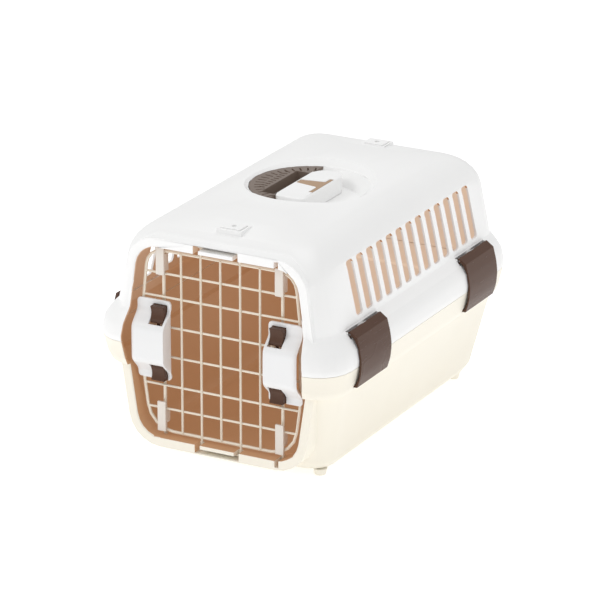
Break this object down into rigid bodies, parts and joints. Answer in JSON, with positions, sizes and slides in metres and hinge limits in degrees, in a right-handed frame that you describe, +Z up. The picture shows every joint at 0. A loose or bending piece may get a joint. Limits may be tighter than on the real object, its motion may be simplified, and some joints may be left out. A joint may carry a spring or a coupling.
{
  "type": "pet transport carrier",
  "caption": "Hard-shell carrier for a cat or small dog: a white top clipped to a cream tray by side buckles, a wire door with spring-loaded locking rods, and a sunk carrying grip.",
  "frame": {"origin": "on the floor under the feet, at the middle of the shells' outline", "axes": "+Z up; the wire door faces -Y; +X is to the right of someone who looks at the door, which hangs on its left (-X) rods; the long side runs along Y"},
  "size_m": [0.3264, 0.47, 0.2857],
  "materials": {
    "shell_white": "white moulded polypropylene, satin",
    "shell_cream": "cream moulded polypropylene, satin",
    "buckle_brown": "dark brown moulded plastic, satin",
    "insert_brown": "grey-brown moulded plastic, matt",
    "inlay_tan": "tan moulded plastic, matt",
    "wire_cream": "cream powder coat over steel wire",
    "handle_white": "pale grey-white moulded plastic, satin",
    "clip_beige": "milky beige moulded plastic",
    "steel": "zinc-plated steel"
  },
  "bodies": {
    "body": {"upper_shell": "shell_white", "lower_shell": "shell_cream", "carry_grip": "shell_white", "grip_inlay": "inlay_tan", "vent_insert": "insert_brown", "strap_anchor_front": "shell_white", "strap_anchor_rear": "shell_white", "buckle_pin_front_left": "steel", "buckle_pin_front_right": "steel", "buckle_pin_rear_left": "steel", "buckle_pin_rear_right": "steel"},
    "door": {"door_grid": "wire_cream", "door_handle_left": "handle_white", "door_handle_right": "handle_white", "guide_clip_lower_left": "clip_beige", "guide_clip_lower_right": "clip_beige", "guide_clip_upper_left": "clip_beige", "guide_clip_upper_right": "clip_beige", "spring_lower_left": "steel", "spring_lower_right": "steel", "spring_upper_left": "steel", "spring_upper_right": "steel"},
    "latch_lower_left": {"knob_lower_left": "buckle_brown", "lock_rod_lower_left": "steel"},
    "latch_lower_right": {"knob_lower_right": "buckle_brown", "lock_rod_lower_right": "steel"},
    "latch_upper_left": {"knob_upper_left": "buckle_brown", "lock_rod_upper_left": "steel"},
    "latch_upper_right": {"knob_upper_right": "buckle_brown", "lock_rod_upper_right": "steel"},
    "clip_front_left": {"buckle_front_left": "buckle_brown"},
    "clip_front_right": {"buckle_front_right": "buckle_brown"},
    "clip_rear_left": {"buckle_rear_left": "buckle_brown"},
    "clip_rear_right": {"buckle_rear_right": "buckle_brown"}
  },
  "joints": [
    {"name": "door_hinge", "type": "hinge", "parent": "body", "child": "door", "pos_m": [-0.07715, -0.2039, 0.1415], "axis": [0, 0, -1], "range_deg": [0, 110]},
    {"name": "latch_lower_left_slide", "type": "slide", "parent": "door", "child": "latch_lower_left", "axis": [0, 0, 1], "range_m": [0, 0.0075], "stiffness_N_per_m": 300, "springref_m": -0.005, "deforming": ["spring_lower_left"]},
    {"name": "latch_lower_right_slide", "type": "slide", "parent": "door", "child": "latch_lower_right", "axis": [0, 0, 1], "range_m": [0, 0.0075], "stiffness_N_per_m": 300, "springref_m": -0.005, "deforming": ["spring_lower_right"]},
    {"name": "latch_upper_left_slide", "type": "slide", "parent": "door", "child": "latch_upper_left", "axis": [0, 0, -1], "range_m": [0, 0.0075], "stiffness_N_per_m": 300, "springref_m": -0.005, "deforming": ["spring_upper_left"]},
    {"name": "latch_upper_right_slide", "type": "slide", "parent": "door", "child": "latch_upper_right", "axis": [0, 0, -1], "range_m": [0, 0.0075], "stiffness_N_per_m": 300, "springref_m": -0.005, "deforming": ["spring_upper_right"]},
    {"name": "clip_front_left_hinge", "type": "hinge", "parent": "body", "child": "clip_front_left", "pos_m": [-0.1474, -0.1396, 0.1782], "axis": [0, 1, 0], "range_deg": [0, 80]},
    {"name": "clip_front_right_hinge", "type": "hinge", "parent": "body", "child": "clip_front_right", "pos_m": [0.1474, -0.1396, 0.1782], "axis": [0, -1, 0], "range_deg": [0, 80]},
    {"name": "clip_rear_left_hinge", "type": "hinge", "parent": "body", "child": "clip_rear_left", "pos_m": [-0.1474, 0.1396, 0.1782], "axis": [0, 1, 0], "range_deg": [0, 80]},
    {"name": "clip_rear_right_hinge", "type": "hinge", "parent": "body", "child": "clip_rear_right", "pos_m": [0.1474, 0.1396, 0.1782], "axis": [0, -1, 0], "range_deg": [0, 80]}
  ]
}
